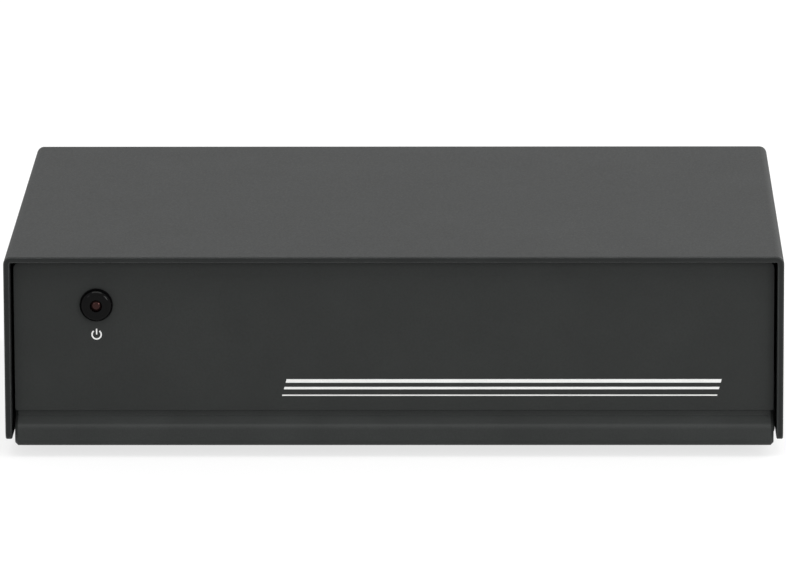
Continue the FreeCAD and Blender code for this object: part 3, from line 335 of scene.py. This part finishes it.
ZINC_STEEL = Finish("zinc_steel", (0.56, 0.57, 0.58), 0.30, metallic=1.0, grain=Grain.TURNED, mottle=0.2)
BLACK_STEEL = Finish("black_steel", (0.020, 0.020, 0.021), 0.36, grain_size=0.18 * MM, edge_highlight_lift=1.5)
HOUSING_BLACK = Finish("housing_black", (0.014, 0.014, 0.0145), 0.48, specular=0.4, grain_size=0.22 * MM,
                       grain_depth=0.006 * MM, mottle=0.2)
NICKEL = Finish("nickel", (0.70, 0.675, 0.62), 0.20, metallic=1.0, grain=Grain.TURNED, grain_size=0.16 * MM,
                grain_depth=0.0015 * MM, mottle=0.12, edge_radius=0.08 * MM)
INSULATOR_WHITE = Finish("insulator_white", (0.74, 0.73, 0.69), 0.34, grain_size=0.35 * MM, mottle=0.08)
INSULATOR_RED = Finish("insulator_red", (0.42, 0.016, 0.014), 0.34, grain_size=0.35 * MM, mottle=0.15)
BRASS = Finish("brass", (0.62, 0.43, 0.17), 0.28, metallic=1.0, grain=Grain.TURNED, mottle=0.2)
CAN_SLEEVE = Finish("can_sleeve", (0.010, 0.011, 0.030), 0.28, grain_size=0.5 * MM, mottle=0.2)
# The slot's name says blue, but its colour in the record is red, and so it is here.
FILM_CASE = Finish("film_blue", (0.26, 0.035, 0.025), 0.42, grain_size=0.3 * MM, mottle=0.15)
CHIP_BLACK = Finish("chip_black", (0.018, 0.018, 0.019), 0.60, specular=0.35, grain_size=0.15 * MM,
                    mottle=0.25)
RESISTOR_LACQUER = BandedFinish("resistor_body", (0.20, 0.34, 0.42), 0.35, grain_size=0.3 * MM)
FOOT_RUBBER = Finish("foot_rubber", (0.016, 0.016, 0.016), 0.82, specular=0.3, grain_size=0.25 * MM,
                     grain_depth=0.02 * MM, mottle=0.3, edge_radius=0.3 * MM, edge_highlight_lift=0.4)


MADE: dict[str, bpy.types.Material] = {}


def shared_material(finish: Finish) -> bpy.types.Material:
    """The one material of a finish, built when it is first asked for."""
    if finish.name not in MADE:
        MADE[finish.name] = finish.material()
    return MADE[finish.name]


def centre(node: str) -> Vector:
    """The middle of a node's box, at rest."""
    low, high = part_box(node)
    return (low + high) / 2


def mesh_piece(name: str, build: Callable[[bmesh.types.BMesh], None], finish: Finish, body: Body,
               smooth: bool = False) -> bpy.types.Object:
    """Make a piece of the scene's own.

    Args:
        name: the piece's name.
        build: fills an empty bmesh.
        finish: its finish, whose name is also its material slot.
        body: what it rides on.
        smooth: whether its faces are shaded smooth.

    Returns:
        The piece, riding on its body.
    """
    mesh = bpy.data.meshes.new(name)
    work = bmesh.new()
    build(work)
    bmesh.ops.recalc_face_normals(work, faces=work.faces)
    for face in work.faces:
        face.smooth = smooth
    work.to_mesh(mesh)
    work.free()
    mesh.materials.append(shared_material(finish))
    piece = bpy.data.objects.new(name, mesh)
    bpy.context.scene.collection.objects.link(piece)
    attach(piece, body.value)
    # The record has no slot for print.
    LOG.info("built %s: %d faces", name, len(mesh.polygons))
    return piece


def prism(work: bmesh.types.BMesh, outline: Sequence[tuple[float, float]],
          front: float, back: float) -> None:
    """Make a flat shape into a thin solid.

    Args:
        work: the mesh to fill.
        outline: the shape's corners, as X and Z.
        front: the depth of its front face, as Y.
        back: the depth of its back face.
    """
    ends = [[work.verts.new((x, y, z)) for x, z in outline] for y in (front, back)]
    work.faces.new(ends[0])
    work.faces.new(ends[1][::-1])
    for index in range(len(outline)):
        after = (index + 1) % len(outline)
        work.faces.new((ends[0][index], ends[1][index], ends[1][after], ends[0][after]))


@dataclass
class SubAssembly:
    """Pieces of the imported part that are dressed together."""

    nodes: dict[str, bpy.types.Object]

    def dress(self, finishes: dict[str, Finish]) -> None:
        """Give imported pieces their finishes.

        Args:
            finishes: each node's finish, by the node's name.
        """
        for node, finish in finishes.items():
            for slot in self.nodes[node].material_slots:
                slot.material = shared_material(finish)
            LOG.info("dressed %s in %s", node, finish.name)


@dataclass
class Case(SubAssembly):
    """The folded cover and tray, the front plate, the side screws and the feet."""

    def build(self) -> None:
        """Dress the case."""
        self.dress({"top_cover": POWDER_COAT, "bottom_tray": TRAY_COAT, "front_fascia": FASCIA_PAINT,
                    "cover_screws": BLACK_STEEL, "rubber_feet": FOOT_RUBBER})


@dataclass
class PowerLamp(SubAssembly):
    """The lamp in its black ring, and the plain sign printed under it."""

    sign_drop: float = 5.2 * MM
    sign_radius: float = 0.78 * MM
    sign_stroke: float = 0.24 * MM
    sign_opening: float = math.radians(38)
    print_thickness: float = 0.02 * MM
    arc_steps: int = 40

    def build(self) -> None:
        """Dress the lamp and print the sign."""
        self.dress({"led_bezel": BEZEL_BLACK, "led_lamp": LAMP_RED, "led_leads": TINNED_WIRE})
        mesh_piece("power_sign", self.sign, PRINT_WHITE, Body.CHASSIS)

    def sign(self, work: bmesh.types.BMesh) -> None:
        """An open ring with a bar in its opening.

        Args:
            work: the mesh to fill.
        """
        lamp = centre("led_bezel")
        x, z = lamp.x, lamp.z - self.sign_drop
        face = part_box("front_fascia")[0].y
        front, back = face - self.print_thickness, face + self.print_thickness / 2
        inner, outer = self.sign_radius - self.sign_stroke / 2, self.sign_radius + self.sign_stroke / 2
        turn = 2 * (math.pi - self.sign_opening) / self.arc_steps
        angles = [math.pi / 2 + self.sign_opening + turn * step for step in range(self.arc_steps + 1)]
        for start, end in zip(angles, angles[1:]):
            corners = ((inner, start), (outer, start), (outer, end), (inner, end))
            prism(work, [(x + r * math.cos(a), z + r * math.sin(a)) for r, a in corners], front, back)
        half = self.sign_stroke / 2
        top = z + self.sign_radius + self.sign_stroke
        prism(work, [(x - half, z), (x + half, z), (x + half, top), (x - half, top)], front, back)


@dataclass
class FrontStripes:
    """Three printed stripes with slanted ends, from broad to fine."""

    left: float = -18.8 * MM
    right: float = 55.6 * MM
    middle: float = 11.8 * MM
    pitch: float = 1.25 * MM
    widths: tuple[float, ...] = (0.62 * MM, 0.42 * MM, 0.22 * MM)
    slant: float = 0.27
    print_thickness: float = 0.02 * MM

    def build(self) -> None:
        """Print the stripes."""
        mesh_piece("front_stripes", self.stripes, PRINT_WHITE, Body.CHASSIS)

    def stripes(self, work: bmesh.types.BMesh) -> None:
        """The stripes, one under the other.

        Args:
            work: the mesh to fill.
        """
        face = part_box("front_fascia")[0].y
        for index, width in enumerate(self.widths):
            z = self.middle + self.pitch * (1 - index)
            corners = [(self.left, -1), (self.right, -1), (self.right, 1), (self.left, 1)]
            outline = [(x + self.slant * (z + side * width / 2 - self.middle), z + side * width / 2)
                       for x, side in corners]
            prism(work, outline, face - self.print_thickness, face + self.print_thickness / 2)


@dataclass
class RearTerminals(SubAssembly):
    """Jacks, power inlet and ground terminal on the rear wall."""

    thread_radius: float = 2.0 * MM
    thread_pitch: float = 0.7 * MM
    thread_depth: float = 0.30 * MM
    tip_thread_depths: float = 1.6
    shoulder_radius: float = 4.4 * MM
    shoulder_thickness: float = 1.2 * MM
    shoulder_step: float = 0.001 * MM
    rows_per_turn: int = 8
    sides: int = 36

    def build(self) -> None:
        """Dress the connectors and cut the stud's thread."""
        housings = ("input_jack_block", "output_jack_block", "dc_jack_body")
        plated = ("input_jack_sleeves", "output_jack_sleeves", "jack_center_contacts", "dc_jack_pin",
                  "dc_jack_spring", "ground_washer", "ground_thumb_nut")
        finishes = dict.fromkeys(housings, HOUSING_BLACK) | dict.fromkeys(plated, NICKEL)
        finishes |= {"left_channel_insulators": INSULATOR_WHITE, "right_channel_insulators": INSULATOR_RED,
                     "jack_panel_screws": BLACK_STEEL, "ground_post": BRASS, "ground_lug": TINNED_WIRE,
                     "ground_inner_nut": ZINC_STEEL}
        self.dress(finishes)
        stud = mesh_piece("ground_stud", self.stud, BRASS, Body.CHASSIS, smooth=True)
        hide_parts("ground_post")

    def radius(self, depth: float, angle: float, wall: float, tip: float) -> float:
        """Read the stud's outline.

        Args:
            depth: the place along the stud, as Y.
            angle: the angle round it, in radians.
            wall: the rear wall's outer face, where the shoulder starts.
            tip: the stud's end.

        Returns:
            The radius there, of the thread, the shoulder or the tip.
        """
        if wall <= depth <= wall + self.shoulder_thickness:
            return self.shoulder_radius
        phase = (depth / self.thread_pitch - angle / (2 * math.pi)) % 1.0
        thread = self.thread_radius - self.thread_depth * (1 - abs(2 * phase - 1))
        return min(thread, self.thread_radius - self.tip_thread_depths * self.thread_depth + (tip - depth))

    def stud(self, work: bmesh.types.BMesh) -> None:
        """The stud as rings of points joined along its length.

        Args:
            work: the mesh to fill.
        """
        low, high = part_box("ground_post")
        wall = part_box("bottom_tray")[1].y
        x, z = (low.x + high.x) / 2, (low.z + high.z) / 2
        step = self.thread_pitch / self.rows_per_turn
        depths = [low.y + step * row for row in range(int((high.y - low.y) / step))] + [high.y]
        shoulder = wall + self.shoulder_thickness
        depths += [wall - self.shoulder_step, wall, shoulder, shoulder + self.shoulder_step]
        rings = []
        for depth in sorted(depths):
            ring = []
            for side in range(self.sides):
                angle = 2 * math.pi * side / self.sides
                radius = self.radius(depth, angle, wall, high.y)
                point = (x + radius * math.cos(angle), depth, z + radius * math.sin(angle))
                ring.append(work.verts.new(point))
            rings.append(ring)
        for first, second in zip(rings, rings[1:]):
            for side in range(self.sides):
                after = (side + 1) % self.sides
                work.faces.new((first[side], first[after], second[after], second[side]))
        work.faces.new(rings[0])
        work.faces.new(rings[-1][::-1])


@dataclass
class BoardWorks(SubAssembly):
    """The circuit board with its parts and fixings."""

    def build(self) -> None:
        """Dress the board."""
        self.dress({"circuit_board": BOARD_GREEN, "board_standoffs": ZINC_STEEL, "board_screws": ZINC_STEEL,
                    "filter_capacitors": CAN_SLEEVE, "coupling_capacitors": CAN_SLEEVE,
                    "film_capacitors": FILM_CASE, "opamp_chips": CHIP_BLACK, "resistors": RESISTOR_LACQUER,
                    "voltage_regulator": CHIP_BLACK})


def seen_rays(tree: bpy.types.NodeTree) -> Socket:
    """Tell the rays that show the surroundings from those that light the object.

    Args:
        tree: the node tree that asks.

    Returns:
        A socket that is 1 where the surroundings are seen or mirrored, and otherwise 0.
    """
    rays = tree.nodes.new("ShaderNodeLightPath").outputs
    seen = rays["Is Camera Ray"]
    for ray in ("Is Glossy Ray", "Is Transmission Ray"):
        either = tree.nodes.new("ShaderNodeMath")
        either.operation = "MAXIMUM"
        tree.links.new(seen, either.inputs[0])
        tree.links.new(rays[ray], either.inputs[1])
        seen = either.outputs[0]
    return seen


@dataclass(frozen=True)
class SoftBox:
    """A square studio lamp aimed at the object."""

    name: str
    place: Point
    size: float
    watts: float
    target: Point = (0.0, 0.0, 0.02)

    def build(self) -> None:
        """Hang the lamp."""
        light = bpy.data.lights.new(self.name, "AREA")
        light.shape = "SQUARE"
        light.size = self.size
        light.energy = self.watts
        lamp = bpy.data.objects.new(self.name, light)
        lamp.location = self.place
        lamp.rotation_euler = (Vector(self.target) - Vector(self.place)).to_track_quat("-Z", "Y").to_euler()
        bpy.context.scene.collection.objects.link(lamp)


@dataclass(frozen=True)
class Studio:
    """Pale floor, white surroundings, soft lamps and the camera."""

    floor_size: float = 8.0
    floor_albedo: float = 0.76
    floor_unevenness: float = 0.01
    floor_blotch: float = 0.4
    floor_detail: float = 2.0
    floor_shade: float = 0.24
    floor_lift: float = 0.74
    surround: float = 0.66
    camera_place: Point = (0.02110, -1.3640, 0.3105)
    camera_yaw: float = math.radians(0.927)
    camera_pitch: float = math.radians(12.1435)
    camera_roll: float = math.radians(-0.22)
    focal_pixels: float = 7861.0
    picture_width: int = 786
    sensor: float = 36.0
    farthest: float = 20.0
    lamps: tuple[SoftBox, ...] = (
        SoftBox("key_lamp", (0.48, -0.72, 0.32), 0.26, 1.9),
        SoftBox("overhead_lamp", (0.0, -0.40, 1.10), 0.90, 8.8),
        SoftBox("rim_lamp", (1.10, 0.90, 0.55), 0.40, 1.2),
        SoftBox("back_lamp", (0.52, 0.36, 0.52), 0.30, 2.7),
        SoftBox("left_lamp", (-0.45, -0.75, 0.32), 0.12, 0.20),
    )

    def build(self) -> None:
        """Set up everything round the object."""
        self.floor()
        self.world()
        for lamp in self.lamps:
            lamp.build()
        self.camera()
        bpy.context.scene.view_settings.view_transform = "Standard"

    def floor(self) -> None:
        """A pale floor: white where it is seen or mirrored, with the object's shadow on it."""
        graph = Graph("floor_pale")
        seen = seen_rays(graph.tree)
        blotches = graph.noise(self.floor_blotch, self.floor_detail)
        low, high = (self.floor_albedo - self.floor_unevenness,) * 3, (self.floor_albedo,) * 3
        tone = graph.blend(seen, graph.blend(blotches, low, high), (self.floor_shade,) * 3)
        matt = graph.add("ShaderNodeBsdfDiffuse", {"Color": tone})
        glow = graph.add("ShaderNodeEmission", {"Strength": graph.share(seen, 0.0, self.floor_lift)})
        graph.close(graph.add("ShaderNodeAddShader", {0: matt.outputs[0], 1: glow.outputs[0]}))
        mesh = bpy.data.meshes.new("floor")
        half = self.floor_size / 2
        corners = [(-half, -half, 0), (half, -half, 0), (half, half, 0), (-half, half, 0)]
        mesh.from_pydata(corners, [], [(0, 1, 2, 3)])
        mesh.materials.append(graph.material)
        floor = bpy.data.objects.new("floor", mesh)
        bpy.context.scene.collection.objects.link(floor)

    def world(self) -> None:
        """An even surround: white where it is seen or mirrored, softer as the light on the object."""
        world = bpy.data.worlds.new("studio")
        bpy.context.scene.world = world
        world.use_nodes = True
        tree = world.node_tree
        background = tree.nodes["Background"]
        background.inputs["Color"].default_value = (*WHITE, 1.0)
        strength = tree.nodes.new("ShaderNodeMath")
        strength.operation = "MULTIPLY_ADD"
        tree.links.new(seen_rays(tree), strength.inputs[0])
        strength.inputs[1].default_value = 1.0 - self.surround
        strength.inputs[2].default_value = self.surround
        tree.links.new(strength.outputs[0], background.inputs["Strength"])

    def camera(self) -> None:
        """The camera, turned by yaw, pitch and roll."""
        yaw, pitch, roll = self.camera_yaw, self.camera_pitch, self.camera_roll
        ahead = Vector((-math.sin(yaw) * math.cos(pitch), math.cos(yaw) * math.cos(pitch),
                        -math.sin(pitch)))
        right = Vector((math.cos(yaw), math.sin(yaw), 0.0))
        up = right.cross(ahead)
        turned_right = math.cos(roll) * right + math.sin(roll) * up
        turned_up = math.cos(roll) * up - math.sin(roll) * right
        lens = bpy.data.cameras.new("camera")
        lens.sensor_width = self.sensor
        lens.lens = self.focal_pixels * self.sensor / self.picture_width
        lens.clip_end = self.farthest
        camera = bpy.data.objects.new("camera", lens)
        camera.matrix_world = Matrix.Translation(self.camera_place) @ Matrix(
            (turned_right, turned_up, -ahead)).transposed().to_4x4()
        bpy.context.scene.collection.objects.link(camera)
        bpy.context.scene.camera = camera


def main() -> None:
    """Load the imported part, dress it, print its marks and set up the studio."""
    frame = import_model()
    nodes = frame["nodes"]
    # The slots' names are then free for the scene's own materials.
    for material in list(bpy.data.materials):
        material.name = "packed_" + material.name
    assemblies = (Case(nodes), PowerLamp(nodes), FrontStripes(), RearTerminals(nodes), BoardWorks(nodes))
    for assembly in assemblies:
        assembly.build()
        LOG.info("finished %s", type(assembly).__name__)
    Studio().build()


if __name__ == "__main__":
    logging.basicConfig(level=logging.INFO, format="%(message)s")
    main()
